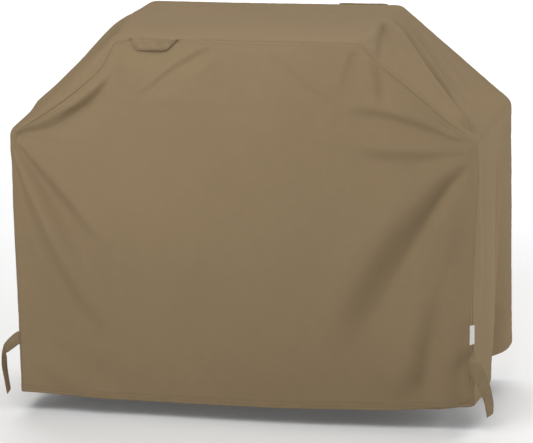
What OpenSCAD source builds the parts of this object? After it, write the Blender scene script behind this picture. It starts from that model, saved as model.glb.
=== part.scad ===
// Fabric cover for a wheeled barbecue: a front and a back panel joined by one long strip
// that makes both sides, both slopes and the flat top. It is open underneath.
// X runs to the right, Y to the back, Z up. The origin is on the underside of the flat top,
// in the middle of the cover's width and depth, where the cover hangs on the lid of the grill.

/* [Cover] */
// Width from side to side
cover_w = 1400; // [1100:10:1800]
// Depth from front to back
cover_d = 620; // [500:10:760]
// Height of the shoulders above the hem
shoulder_h = 792; // [600:1:900]
// Height of the flat top above the hem
top_h = 1080; // [1000:1:1200]
// Width of the flat top
top_w = 732; // [600:10:900]
// How far the flat top sits to the right of the middle
top_shift = 0; // [-30:1:30]
// Radius of the soft bend at each shoulder
shoulder_r = 40; // [20:5:80]
// Radius of the soft bend at each end of the top
peak_r = 45; // [20:5:80]
// Thickness of the coated cloth
cloth_t = 1.2; // [0.8:0.1:2]

/* [Hem and seams] */
// Height of the turned-up hem
hem_h = 25; // [15:1:40]
// Thickness of the turned-up hem
hem_t = 1.6; // [1:0.1:3]
// Width of the waterproof tape inside each seam
tape_w = 20; // [12:1:30]
// Thickness of the tape
tape_t = 0.5; // [0.3:0.1:1]
// Distance of the seam stitching from the panel's edge
stitch_in = 8; // [5:1:12]
// Width of a line of thread
thread_w = 1.2; // [0.8:0.1:2]
// How far a line of thread stands off the cloth
thread_t = 0.5; // [0.3:0.1:1]

/* [Carry handles] */
// Distance of each handle's middle from the middle of the cover
handle_x = 252; // [150:1:260]
// Width of a handle where it is caught in the top seam
handle_w = 154; // [120:2:180]
// Width of a handle along its lower edge
handle_low_w = 90; // [70:2:110]
// Width of the handle's strap
handle_h = 36; // [30:1:50]
// Room for fingers between the handle and the panel
handle_bow = 13; // [10:1:35]
// Thickness of the padded strap
handle_t = 4; // [3:0.5:6]
// Thickness of the cloth tube around the padding
sleeve_t = 0.8; // [0.5:0.1:1.2]

/* [Tie-down straps] */
// Width of a strap
strap_w = 38; // [30:1:45]
// Thickness of a strap
strap_t = 1.4; // [1:0.1:2]
// Height of the top of each strap's root above the hem
strap_root_h = 168; // [140:1:200]
// Distance from the left seam to the fold in the left strap
left_reach = 60; // [50:1:64]
// Length of the left strap below its fold
left_tail = 146; // [90:1:150]
// Slope of the left strap's tail towards the cover
left_lean = 6; // [0:1:8]
// Distance from the right seam to the fold in the right strap
right_reach = 15; // [14:1:18]
// Length of the right strap below its fold
right_tail = 184; // [120:1:190]
// Slope of the right strap's tail away from the cover
right_lean = 18; // [10:1:20]
// Thickness of the hook tape and of the loop tape
grip_t = 1; // [0.8:0.1:1.5]

/* [Side label] */
// Length of the label along the seam
label_h = 64; // [40:1:80]
// Width of the folded label
label_w = 12; // [10:1:25]
// Thickness of the folded label
label_t = 1; // [0.8:0.1:1.5]
// Height of the label's lower end above the hem
label_low = 196; // [190:1:260]
// Angle between the label and the front panel
label_angle = 10; // [5:1:20]

/* [Hidden] */

cloth_colour = [0.56, 0.49, 0.38];
strap_colour = [0.53, 0.46, 0.35];
thread_colour = [0.45, 0.39, 0.29];
tape_colour = [0.22, 0.21, 0.20];
padding_colour = [0.75, 0.73, 0.70];
grip_colour = [0.16, 0.14, 0.12];
label_colour = [0.90, 0.90, 0.88];

half_w = cover_w / 2;
half_d = cover_d / 2;
seat_h = top_h - cloth_t;
top_left = top_shift - top_w / 2;
top_right = top_shift + top_w / 2;
left_slope = atan2(top_h - shoulder_h, top_left + half_w);
right_slope = atan2(top_h - shoulder_h, half_w - top_right);
arc_steps = 8;
// The tape starts this far inside the strip, so it leaves the underside of the top clear
tape_gap = 3;
// The seam stitching starts this far above the hem
stitch_start = 10;
// Rows of stitching above the hem's edge
hem_rows = [8, 20];
// Distance of a row of stitching from a strap's or a handle's edge
row_in = 4;
// Small gap between pieces of different bodies, and between a thread and its cloth
air = 0.4;
touch = 0.05;
// Room around the padding in its cloth tube
padding_gap = 0.2;
// Size of a bartack across a handle's end or a strap's root
bartack_w = 12;
bartack_h = 3;
// Length of the hook tape and of the loop tape
hook_len = 62;
loop_len = 34;
// How much shorter a tail is on one edge than on the other
tip_cut = 20;

// ---- outline of the front and back panels ----

function unit(a) = [cos(a), sin(a)];
function bend_centre(p, a1, a2, r) = p - r * (unit(a1) + unit(a2)) / (1 + unit(a1) * unit(a2));
function bend(p, a1, a2, r, inset) = [
    for (i = [0:arc_steps])
        bend_centre(p, a1, a2, r) + (r - inset) * unit(a1 + (a2 - a1) * i / arc_steps)
];
// From the left hem up over the top to the right hem, moved inwards by inset
function outline(inset, base = 0) = concat(
    [[-half_w + inset, base]],
    bend([-half_w, shoulder_h], 180, 90 + left_slope, shoulder_r, inset),
    bend([top_left, top_h], 90 + left_slope, 90, peak_r, inset),
    bend([top_right, top_h], 90, 90 - right_slope, peak_r, inset),
    bend([half_w, shoulder_h], 90 - right_slope, 0, shoulder_r, inset),
    [[half_w - inset, base]]
);
function backwards(list) = [for (i = [len(list) - 1:-1:0]) list[i]];
function ribbon(outer, inner, base = 0) = concat(outline(outer, base), backwards(outline(inner, base)));

// ---- helpers ----

// Heights above the hem become heights in the cover's own frame
module from_hem() { translate([0, 0, -seat_h]) children(); }

// A flat shape drawn in X and height, between two depths
module slab(points, y_low, y_high) {
    translate([0, y_high, 0]) rotate([90, 0, 0]) linear_extrude(y_high - y_low) polygon(points);
}

// What is made for the front, turned round for the back
module at_back() { rotate([0, 0, 180]) children(); }

// ---- panels, strip and hem ----

module front_panel() {
    color(cloth_colour) from_hem() slab(outline(0), -half_d, -half_d + cloth_t);
}

module back_panel() {
    color(cloth_colour) from_hem() slab(outline(0), half_d - cloth_t, half_d);
}

module crown_band() {
    color(cloth_colour) from_hem() slab(ribbon(0, cloth_t), -half_d + cloth_t, half_d - cloth_t);
}

module hem_box(out, low, high) {
    translate([-half_w - out, -half_d - out, low])
        cube([cover_w + 2 * out, cover_d + 2 * out, high - low]);
}

module bottom_hem() {
    color(cloth_colour) from_hem() difference() {
        hem_box(-cloth_t, 0, hem_h);
        hem_box(-cloth_t - hem_t, -1, hem_h + 1);
    }
}

// ---- seam tape and stitching ----

module seam_tape_at(y_low) {
    start = cloth_t + tape_gap;
    color(tape_colour) from_hem()
        slab(ribbon(start, start + tape_w, hem_h + stitch_start), y_low, y_low + tape_t);
}

module front_seam_tape() { seam_tape_at(-half_d + cloth_t); }
module back_seam_tape() { seam_tape_at(half_d - cloth_t - tape_t); }

module seam_stitching_at(y_low) {
    color(thread_colour) from_hem()
        slab(ribbon(stitch_in, stitch_in + thread_w, hem_h + stitch_start), y_low, y_low + thread_t);
}

module front_seam_stitching() { seam_stitching_at(-half_d - thread_t); }
module back_seam_stitching() { seam_stitching_at(half_d); }

module hem_stitching() {
    color(thread_colour) from_hem() for (row = hem_rows) difference() {
        hem_box(thread_t, row, row + thread_w);
        hem_box(0, row - 1, row + thread_w + 1);
    }
}

// ---- carry handles ----

// The strap bows away from the panel along an arc between the two ends caught in the seam
handle_half = handle_w / 2;
bow_r = (handle_half * handle_half + handle_bow * handle_bow) / (2 * handle_bow);
bow_y = -half_d - air - handle_bow + bow_r;
bow_out = bow_r + handle_t;

// A vertical tube wall around the bow's centre, cut to the handle's tapered outline
module bowed(r_in, r_out, inset) {
    intersection() {
        translate([-handle_x, bow_y, top_h - handle_h]) difference() {
            cylinder(r = r_out, h = handle_h, $fn = 180);
            translate([0, 0, -1]) cylinder(r = r_in, h = handle_h + 2, $fn = 180);
        }
        translate([-handle_x, 0, top_h]) slab([
            [-handle_half + inset, -inset], [handle_half - inset, -inset],
            [handle_low_w / 2 - inset, -handle_h + inset], [-handle_low_w / 2 + inset, -handle_h + inset]
        ], -2 * half_d, -half_d - air);
    }
}

module handle_sleeve() {
    color(cloth_colour) from_hem() difference() {
        bowed(bow_r, bow_out, 0.5);
        bowed(bow_r + sleeve_t, bow_out - sleeve_t, 0.5 + sleeve_t);
    }
}

module handle_padding() {
    skin = sleeve_t + padding_gap;
    color(padding_colour) from_hem() bowed(bow_r + skin, bow_out - skin, 0.5 + skin);
}

// A thin raised shape on the outside of the bow
module on_bow(thick) { bowed(bow_out + touch, bow_out + touch + thick, 0.5); }

module handle_row(low) {
    intersection() {
        on_bow(thread_t);
        translate([-handle_x - handle_half, -2 * half_d, low]) cube([handle_w, 2 * half_d, thread_w]);
    }
}

module handle_stitching() {
    color(thread_colour) from_hem() {
        handle_row(top_h - row_in);
        handle_row(top_h - handle_h + row_in - thread_w);
    }
}

module handle_bartacks() {
    color(thread_colour) from_hem() for (side = [-1, 1]) intersection() {
        on_bow(2 * thread_t);
        translate([-handle_x + side * (handle_half - 16) - bartack_w / 2, -2 * half_d, top_h - 9])
            cube([bartack_w, 2 * half_d, bartack_h]);
    }
}

module front_handle_sleeve() { handle_sleeve(); }
module front_handle_padding() { handle_padding(); }
module front_handle_stitching() { handle_stitching(); }
module front_handle_bartacks() { handle_bartacks(); }
module back_handle_sleeve() { at_back() handle_sleeve(); }
module back_handle_padding() { at_back() handle_padding(); }
module back_handle_stitching() { at_back() handle_stitching(); }
module back_handle_bartacks() { at_back() handle_bartacks(); }

// ---- tie-down straps ----

// Each strap is caught in a front seam, comes out of it as a short root and is bent into a
// tail that hangs down. Root and tail are one strip of cloth, made as two nodes at the bend.
root_low = strap_root_h - strap_w;
left_bend_h = 112;
right_bend_h = strap_root_h - 18;
// A root starts this far from its seam, so that it can swing either way
root_gap = 2;
// The left root's outer edge runs down along the sloping tail
edge_drop = 24;
edge_in = edge_drop * tan(left_lean);

// A tail hangs from the origin in the plane of X and Z and ends in a slanted cut
module tail_shape(len) {
    slab([
        [-strap_w / 2, 0], [strap_w / 2, 0],
        [strap_w / 2, -len + tip_cut], [-strap_w / 2, -len]
    ], -strap_t / 2, strap_t / 2);
}

// Hook tape on the back of the tail, above the slanted cut
module tail_hook(len) {
    translate([-strap_w / 2 + row_in, strap_t / 2 + touch, -len + tip_cut + row_in])
        cube([strap_w - 2 * row_in, grip_t, hook_len]);
}

module tail_rows(len) {
    for (side = [-1, 1])
        translate([side * (strap_w / 2 - row_in) - thread_w / 2, -strap_t / 2 - touch - thread_t,
                   -len + tip_cut + row_in])
            cube([thread_w, thread_t, len - tip_cut - 2 * row_in]);
}

// The left tail is turned a quarter, so it faces the cover
module at_left_bend() {
    from_hem() translate([-half_w - left_reach - strap_t / 2 - air, -half_d, left_bend_h])
        rotate([0, -left_lean, 0]) rotate([0, 0, -90]) children();
}

module at_right_bend() {
    from_hem() translate([half_w + 9, -half_d - right_reach, right_bend_h])
        rotate([0, -right_lean, 0]) children();
}

// The left root leaves the seam to the side and slopes down to the bend
module left_strap_root() {
    color(strap_colour) from_hem() translate([-half_w, -half_d, 0]) slab([
        [-root_gap, strap_root_h], [-root_gap, root_low],
        [-left_reach + 14, left_bend_h - 20], [-left_reach + edge_in, left_bend_h - edge_drop],
        [-left_reach, left_bend_h], [-left_reach + 10, left_bend_h + 14]
    ], -strap_t / 2, strap_t / 2);
}

module left_strap_bartack() {
    color(thread_colour) from_hem()
        translate([-half_w - 7, -half_d - strap_t / 2 - touch - thread_t, root_low + row_in])
            cube([bartack_h, thread_t, strap_w - 3 * row_in]);
}

module left_strap_loop_tape() {
    color(grip_colour) from_hem()
        translate([-half_w - left_reach + row_in, -half_d + strap_t / 2 + touch, left_bend_h - 12])
            cube([loop_len, grip_t, loop_len - 3 * row_in]);
}

module left_strap_tail() { color(strap_colour) at_left_bend() tail_shape(left_tail); }
module left_strap_hook_tape() { color(grip_colour) at_left_bend() tail_hook(left_tail); }
module left_strap_stitching() { color(thread_colour) at_left_bend() tail_rows(left_tail); }

// The right root comes forward out of the seam and the tail hangs in front of it
right_root_len = right_reach - strap_t / 2 - air - root_gap;
right_root_y = -half_d - root_gap - right_root_len;

module right_strap_root() {
    color(strap_colour) from_hem()
        translate([half_w - strap_t, right_root_y, root_low]) cube([strap_t, right_root_len, strap_w]);
}

module right_strap_bartack() {
    color(thread_colour) from_hem()
        translate([half_w + touch, -half_d - root_gap - 1 - bartack_h, root_low + row_in])
            cube([thread_t, bartack_h, strap_w - 2 * row_in]);
}

module right_strap_loop_tape() {
    color(grip_colour) from_hem()
        translate([half_w - strap_t - touch - grip_t, right_root_y + 1, root_low + row_in])
            cube([grip_t, right_root_len - 2, strap_w - 2 * row_in]);
}

module right_strap_tail() { color(strap_colour) at_right_bend() tail_shape(right_tail); }
module right_strap_hook_tape() { color(grip_colour) at_right_bend() tail_hook(right_tail); }
module right_strap_stitching() { color(thread_colour) at_right_bend() tail_rows(right_tail); }

// ---- side label ----

module at_label() {
    from_hem() translate([half_w - air, -half_d - air, label_low])
        rotate([0, 0, 180 + label_angle]) children();
}

module side_label() {
    color(label_colour) at_label() cube([label_w, label_t, label_h]);
}

module side_label_stitching() {
    color(thread_colour) at_label()
        translate([2, label_t + touch, 2]) cube([thread_w, thread_t, label_h - 4]);
}

front_panel();
back_panel();
crown_band();
bottom_hem();
front_seam_tape();
back_seam_tape();
front_seam_stitching();
back_seam_stitching();
hem_stitching();
front_handle_sleeve();
front_handle_padding();
front_handle_stitching();
front_handle_bartacks();
back_handle_sleeve();
back_handle_padding();
back_handle_stitching();
back_handle_bartacks();
left_strap_root();
left_strap_bartack();
left_strap_loop_tape();
left_strap_tail();
left_strap_hook_tape();
left_strap_stitching();
right_strap_root();
right_strap_bartack();
right_strap_loop_tape();
right_strap_tail();
right_strap_hook_tape();
right_strap_stitching();
side_label();
side_label_stitching();
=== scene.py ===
"""Fabric grill cover: cloth panels with their folds and seams, carry handles, tie straps and label."""

import math

import bpy
import numpy as np
from mathutils import Matrix, Vector


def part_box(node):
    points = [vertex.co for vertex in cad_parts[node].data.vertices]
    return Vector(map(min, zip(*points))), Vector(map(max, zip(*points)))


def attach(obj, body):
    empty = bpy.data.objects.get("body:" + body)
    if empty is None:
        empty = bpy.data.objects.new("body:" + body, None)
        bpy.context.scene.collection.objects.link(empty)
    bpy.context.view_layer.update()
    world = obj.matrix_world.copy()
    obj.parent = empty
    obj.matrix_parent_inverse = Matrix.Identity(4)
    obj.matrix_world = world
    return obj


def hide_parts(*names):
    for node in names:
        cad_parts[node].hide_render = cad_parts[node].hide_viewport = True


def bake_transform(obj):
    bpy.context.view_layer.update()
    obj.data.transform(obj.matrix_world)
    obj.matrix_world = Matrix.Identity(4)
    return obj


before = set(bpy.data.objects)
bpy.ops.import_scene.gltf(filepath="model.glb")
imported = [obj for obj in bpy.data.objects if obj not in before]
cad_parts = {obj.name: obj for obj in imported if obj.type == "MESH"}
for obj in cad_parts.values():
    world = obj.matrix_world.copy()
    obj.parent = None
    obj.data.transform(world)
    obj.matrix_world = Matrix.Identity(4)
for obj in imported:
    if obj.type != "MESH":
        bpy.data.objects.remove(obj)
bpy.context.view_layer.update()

# ---- sizes of the cover, in metres: heights are above the hem, depths behind the front seam ----
PANEL_LOW, PANEL_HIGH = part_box("front_panel")
HALF_W = PANEL_HIGH.x
HALF_D = -PANEL_LOW.y
DEPTH = 2 * HALF_D
HEM_Z = PANEL_LOW.z
TOP_H = PANEL_HIGH.z - HEM_Z
SHOULDER_H, SHOULDER_R = 0.792, 0.040
TOP_LEFT, TOP_RIGHT, PEAK_R = -0.366, 0.366, 0.045
CLOTH = 0.0012
HEM_H, HEM_T = 0.025, 0.0013
HEM_ROWS = (0.008, 0.020)
STITCH_IN = 0.008
STITCH_PITCH = 0.0052
SEAM_END = HEM_H + 0.012
ABOVE = 0.0001  # what lies on the cloth is this far off it
TAPE_IN, TAPE_W, TAPE_T, TAPE_OFF = 0.0045, 0.020, 0.0005, 0.0003
FLOOR_Z = -1.155

FRONT, BACK = -1, 1
EDGE_V = {FRONT: 0.0, BACK: DEPTH}


# ---- small helpers ----

def smooth(t):
    """0 below 0, 1 above 1, and a soft rise between."""
    t = np.clip(t, 0.0, 1.0)
    return t * t * (3 - 2 * t)


def fade(distance, reach):
    """1 at distance 0, softly down to 0 at reach."""
    return 1 - smooth(distance / reach)


def along(t, *pairs):
    """A soft curve through (position, value) pairs."""
    at, value = zip(*pairs)
    t = np.asarray(t, float)
    i = np.clip(np.searchsorted(at, t) - 1, 0, len(at) - 2)
    at, value = np.array(at), np.array(value)
    part = (t - at[i]) / (at[i + 1] - at[i])
    return value[i] + (value[i + 1] - value[i]) * smooth(part)


def noise_1d(t, size, seed):
    """Soft random waves of about that size along a line, from -1 to 1."""
    rng = np.random.default_rng(seed)
    knots = rng.uniform(-1, 1, 4096)
    t = np.asarray(t, float) / size + 97.0
    i = np.floor(t).astype(int)
    part = smooth(t - i)
    return knots[i % 4096] * (1 - part) + knots[(i + 1) % 4096] * part


def noise_2d(x, y, size, seed):
    """Soft random waves of about that size over a surface, from -1 to 1."""
    rng = np.random.default_rng(seed)
    knots = rng.uniform(-1, 1, (256, 256))
    x, y = np.asarray(x, float) / size + 61.0, np.asarray(y, float) / size + 83.0
    i, j = np.floor(x).astype(int), np.floor(y).astype(int)
    a, b = smooth(x - i), smooth(y - j)
    i, j, i2, j2 = i % 256, j % 256, (i + 1) % 256, (j + 1) % 256
    low = knots[i, j] * (1 - a) + knots[i2, j] * a
    high = knots[i, j2] * (1 - a) + knots[i2, j2] * a
    return low * (1 - b) + high * b


def normalise(v):
    return v / np.maximum(np.linalg.norm(v, axis=-1, keepdims=True), 1e-12)


# ---- outline of the front and back panels, from the left hem over the top to the right hem ----

def unit(angle):
    return np.array([math.cos(angle), math.sin(angle)])


def bend(corner, angle_1, angle_2, radius, steps=24):
    """Points on the arc that rounds a corner between two edges with those normals."""
    u1, u2 = unit(angle_1), unit(angle_2)
    centre = np.array(corner) - radius * (u1 + u2) / (1 + u1 @ u2)
    angles = np.linspace(angle_1, angle_2, steps + 1)
    return [centre + radius * unit(a) for a in angles]


LEFT_SLOPE = math.atan2(TOP_H - SHOULDER_H, TOP_LEFT + HALF_W)
RIGHT_SLOPE = math.atan2(TOP_H - SHOULDER_H, HALF_W - TOP_RIGHT)
UP = math.pi / 2


def measured_outline():
    """The outline's points, each with its length from the left hem."""
    corners = [np.array([-HALF_W, 0.0])]
    corners += bend((-HALF_W, SHOULDER_H), math.pi, UP + LEFT_SLOPE, SHOULDER_R)
    corners += bend((TOP_LEFT, TOP_H), UP + LEFT_SLOPE, UP, PEAK_R)
    corners += bend((TOP_RIGHT, TOP_H), UP, UP - RIGHT_SLOPE, PEAK_R)
    corners += bend((HALF_W, SHOULDER_H), UP - RIGHT_SLOPE, 0.0, SHOULDER_R)
    corners += [np.array([HALF_W, 0.0])]
    points = np.array(corners)
    lengths = np.concatenate([[0], np.cumsum(np.linalg.norm(np.diff(points, axis=0), axis=1))])
    return points, lengths


OUTLINE, LENGTHS = measured_outline()
TOTAL = LENGTHS[-1]


def on_outline(u):
    return np.stack([np.interp(u, LENGTHS, OUTLINE[:, k]) for k in (0, 1)], -1)


def outline_at(u):
    """Point and outward normal of the outline at length u."""
    step = 0.004
    way = normalise(on_outline(u + step) - on_outline(u - step))
    return on_outline(u), np.stack([-way[..., 1], way[..., 0]], -1)


# the first point right of the middle: the outline runs up before it, and down after it
HALF = int(np.argmax(OUTLINE[:, 0] > (TOP_LEFT + TOP_RIGHT) / 2))


def left_edge(h):
    return np.interp(h, OUTLINE[:HALF, 1], OUTLINE[:HALF, 0])


def right_edge(h):
    return np.interp(h, OUTLINE[:HALF - 1:-1, 1], OUTLINE[:HALF - 1:-1, 0])


def nearest(points, line):
    """For each point: the nearest piece of the line, how far along that it is, and the way from there."""
    a, edge = line[:-1], np.diff(line, axis=0)
    size = (edge ** 2).sum(1)
    piece, share, away = np.empty(len(points), int), np.empty(len(points)), np.empty((len(points), 2))
    for first in range(0, len(points), 2000):
        few = slice(first, first + 2000)
        p = points[few, None, :]
        part = np.clip(((p - a) * edge).sum(-1) / size, 0, 1)
        gap = p - a - part[..., None] * edge
        k = np.linalg.norm(gap, axis=-1).argmin(1)
        rows = np.arange(len(k))
        piece[few], share[few], away[few] = k, part[rows, k], gap[rows, k]
    return piece, share, away


def nearest_on_outline(x, h):
    """Length along the outline nearest to each (x, h), and the distance to it."""
    k, share, away = nearest(np.stack([np.ravel(x), np.ravel(h)], -1), OUTLINE)
    u = LENGTHS[k] + share * np.linalg.norm(np.diff(OUTLINE, axis=0), axis=1)[k]
    return u.reshape(np.shape(x)), np.linalg.norm(away, axis=-1).reshape(np.shape(x))


U_LEFT_SHOULDER, U_LEFT_PEAK, U_RIGHT_PEAK, U_RIGHT_SHOULDER = nearest_on_outline(
    np.array([-HALF_W, TOP_LEFT, TOP_RIGHT, HALF_W]), np.array([SHOULDER_H, TOP_H, TOP_H, SHOULDER_H]))[0]


# ---- folds ----

FOLD_GAIN = 2.4
FOLD_REACH = 3.2  # in widths: further off a fold adds nothing
FOLD_STEPS = 48
FRONT_LIGHT = (-0.2, 1.0)


def soft_line(points, count):
    """A smooth line of about that many steps through some points (Catmull-Rom)."""
    p = np.array(points, float)
    p = np.vstack([2 * p[0] - p[1], p, 2 * p[-1] - p[-2]])
    out = []
    for k in range(1, len(p) - 2):
        a, b, c, d = p[k - 1:k + 3]
        for t in np.linspace(0, 1, count // (len(p) - 3), endpoint=False):
            out.append(0.5 * (2 * b + (c - a) * t + (2 * a - 5 * b + 4 * c - d) * t * t
                              + (3 * b - a - 3 * c + d) * t ** 3))
    out.append(p[-2])
    return np.array(out)


def fold_height(x, y, fold, light):
    """Height of one fold: a band of cloth, along a line, that is turned from the light where its slope
    is above 0 and to the light where it is below. The cloth rises and falls again beside the band."""
    points, width, slope, taper = fold
    line = soft_line(points, FOLD_STEPS)
    edge = np.diff(line, axis=0)
    length = np.linalg.norm(edge, axis=1)
    start = np.concatenate([[0], np.cumsum(length)])
    run = line[-1] - line[0]
    hand = 1.0 if light[1] * run[0] - light[0] * run[1] > 0 else -1.0
    flat = np.stack([np.ravel(x), np.ravel(y)], -1)
    out = np.zeros(len(flat))
    low, high = line.min(0) - FOLD_REACH * width, line.max(0) + FOLD_REACH * width
    near = np.nonzero(((flat > low) & (flat < high)).all(1))[0]
    k, share, away = nearest(flat[near], line)
    way = normalise(edge[k])
    s = (away * np.stack([-way[:, 1], way[:, 0]], -1) * hand).sum(1)
    beyond = np.maximum(np.linalg.norm(away, axis=1) ** 2 - s ** 2, 0)
    at = (start[k] + share * length[k]) / start[-1]
    ends = smooth(at / taper[0]) * smooth((1 - at) / taper[1])
    grow = width * (0.45 + 0.55 * smooth(at / 0.5)) if taper[0] < 0.12 else width
    out[near] = FOLD_GAIN * slope * s * np.exp(-(s ** 2 + beyond) / grow ** 2) * ends
    return out.reshape(np.shape(x))


# Each fold: points (x, height), width, slope, and how much of its length fades in and out.
# A fold whose first fade is short grows wider away from its start.
FRONT_FOLDS = [
    # left shoulder and lower left
    (((-.70, .797), (-.60, .820), (-.52, .858), (-.45, .908), (-.395, .975)), .062, .22,
     (.05, .3)),
    (((-.56, .850), (-.48, .895), (-.42, .950), (-.385, 1.01)), .030, .15, (.2, .3)),
    (((-.335, .86), (-.330, .95), (-.325, 1.03)), .022, -.16, (.3, .3)),
    (((-.66, .850), (-.55, .925), (-.46, .995)), .020, -.07, (.3, .3)),
    (((-.69, .780), (-.60, .770), (-.52, .765), (-.44, .780)), .022, .13, (.05, .5)),
    (((-.69, .770), (-.60, .725), (-.50, .690), (-.42, .67)), .020, -.07, (.05, .6)),
    (((-.69, .77), (-.60, .670), (-.52, .575), (-.44, .475), (-.33, .39)), .030, .26, (.05, .5)),
    (((-.695, .765), (-.635, .65), (-.565, .52), (-.49, .39), (-.40, .28)), .034, -.23,
     (.05, .5)),
    (((-.695, .74), (-.655, .61), (-.605, .475), (-.535, .345), (-.45, .23), (-.34, .15)),
     .044, .25, (.08, .35)),
    (((-.66, .16), (-.50, .06), (-.34, .03)), .050, -.10, (.3, .3)),
    # below the top edge
    (((-.07, 1.065), (-.18, 1.0), (-.26, .94), (-.34, .89)), .014, .20, (.15, .35)),
    (((-.03, 1.04), (-.10, .985), (-.19, .94), (-.28, .905)), .017, .12, (.25, .4)),
    (((-.03, 1.05), (-.12, .985), (-.21, .925), (-.31, .86)), .024, -.13, (.2, .4)),
    (((.10, 1.06), (.16, 1.0), (.23, .935), (.31, .885)), .020, .15, (.2, .3)),
    (((.345, 1.07), (.32, .99), (.30, .91)), .018, .13, (.15, .4)),
    (((.372, 1.06), (.365, .98), (.36, .92)), .018, -.16, (.2, .4)),
    (((.405, 1.05), (.412, .98), (.425, .89)), .022, .24, (.15, .3)),
    (((.43, .985), (.52, .925), (.62, .855)), .046, -.15, (.3, .3)),
    (((-.34, .890), (-.10, .880), (.10, .884), (.32, .895)), .030, .040, (.2, .2)),
    # right shoulder and lower right
    (((.69, .79), (.62, .812), (.55, .84), (.46, .865), (.38, .878), (.29, .878)),
     .026, .27, (.04, .3)),
    (((.69, .78), (.60, .758), (.50, .752), (.40, .755), (.30, .765)), .034, .22, (.04, .4)),
    (((.69, .775), (.60, .715), (.48, .685), (.36, .69)), .028, -.08, (.1, .4)),
    (((.695, .775), (.61, .680), (.53, .590), (.455, .50), (.39, .40), (.33, .27), (.26, .12)),
     .076, .27, (.04, .35)),
    (((.695, .765), (.635, .66), (.57, .525), (.49, .39), (.42, .26)), .028, -.20, (.05, .3)),
    (((.70, .74), (.655, .60), (.615, .45), (.565, .28), (.52, .12), (.50, .02)),
     .056, .24, (.08, .1)),
    (((.69, .52), (.665, .28), (.655, .0)), .055, .20, (.4, .01)),
]

# On the right slope and side: points (distance down from the top's right corner, depth from the front).
SLOPE_FOLDS = [
    (((.0, .40), (.025, .20), (.060, .0)), .018, .32, (.3, .05)),
    (((.01, .36), (.08, .22), (.17, .12), (.28, .05)), .022, -.24, (.2, .3)),
    (((.0, .43), (.08, .345), (.16, .265), (.24, .19), (.33, .12), (.42, .045)),
     .030, .60, (.22, .1)),
    (((.07, .46), (.17, .34), (.27, .215), (.37, .10)), .018, -.28, (.2, .3)),
    (((.02, .51), (.10, .43), (.18, .35), (.27, .26), (.36, .18)), .036, .36, (.3, .4)),
    (((.18, .52), (.28, .42), (.38, .33)), .020, -.20, (.3, .3)),
]
# On the top: points (x, depth).
TOP_FOLDS = [
    (((.33, .46), (.36, .30), (.385, .10), (.395, .0)), .018, .16, (.3, .2)),
    (((-.30, .49), (.0, .485), (.32, .49)), .030, .07, (.3, .3)),
]
# On the sides: points (depth, height).
SIDE_FOLDS = [
    (((.06, .78), (.10, .60), (.12, .40), (.11, .20)), .040, .06, (.2, .4)),
    (((.34, .70), (.35, .50), (.355, .30), (.35, .05)), .022, -.14, (.2, .1)),
    (((.39, .76), (.40, .55), (.41, .30), (.42, .02)), .035, .22, (.2, .1)),
    (((.50, .78), (.52, .68), (.53, .55)), .022, .14, (.3, .4)),
    (((.56, .78), (.565, .66), (.57, .50)), .016, .10, (.3, .4)),
]
# On either side of the back: the lower end's x and height, width and slope. All start at the shoulder.
BACK_START = (.69, .775)
BACK_FOLDS = [(.34, .16, .040, .16), (.46, .10, .034, -.12), (.56, .06, .036, .14),
              (.30, .50, .026, .12), (.28, .72, .022, .12)]


def front_height(x, h):
    """How far the front panel stands out of its plane."""
    out = sum(fold_height(x, h, f, FRONT_LIGHT) for f in FRONT_FOLDS)
    across = along(x, (-.70, 0), (.12, 1), (.70, 0))
    belly = 0.026 * across * along(h, (0, .70), (.50, 1), (.80, .35), (1.0, 0), (1.08, 0))
    return out + belly + wrinkles(x, h, 11)


def back_height(x, h):
    """The back panel hangs in a few long soft folds from its shoulders."""
    out = 0.0
    start_x, start_h = BACK_START
    for side in (-1, 1):
        for reach, low, width, slope in BACK_FOLDS:
            fall = start_h - low
            line = ((side * start_x, start_h), (side * 0.60, start_h - fall * 0.35),
                    (side * (start_x + reach) / 2, start_h - fall * 0.7), (side * reach, low))
            out = out + fold_height(x, h, (line, width, slope, (.05, .5)), FRONT_LIGHT)
    tuck = -0.016 * smooth((np.abs(x) - 0.2) / 0.5) * fade(h, 0.7)
    return out + tuck + 0.008 * fade(np.hypot(x / 0.62, (h - 0.5) / 0.40), 1.0) + wrinkles(x, h, 23)


def wrinkles(x, y, seed):
    """The small unevenness of cloth that was folded in a box."""
    out = 0.0012 * noise_2d(x, y, 0.16, seed) + 0.0006 * noise_2d(x, y * 0.7, 0.07, seed + 1)
    return out + 0.00022 * noise_2d(x, y, 0.028, seed + 2)


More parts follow.
